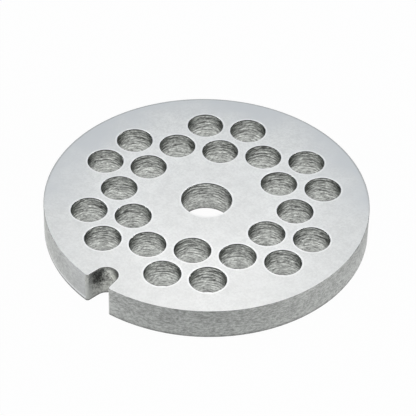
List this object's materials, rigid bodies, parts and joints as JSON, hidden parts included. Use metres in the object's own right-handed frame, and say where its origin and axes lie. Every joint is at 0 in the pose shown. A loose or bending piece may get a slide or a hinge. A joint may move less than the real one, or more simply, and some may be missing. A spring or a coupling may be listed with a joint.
{
  "type": "meat grinder plate",
  "caption": "Flat round steel grinder plate with a centre bore, a drilled field of through holes and a round-ended keyway notch in its rim.",
  "frame": {"origin": "on the bore's axis, at the lower face", "axes": "+Z along the bore's axis towards the cutting face, and -Y from the bore's axis out through the keyway notch"},
  "size_m": [0.07, 0.0698, 0.0072],
  "materials": {
    "ground_steel": "satin, surface ground faces, turned rim, drilled walls"
  },
  "bodies": {
    "root": {"grinder_plate": "ground_steel"}
  },
  "joints": []
}
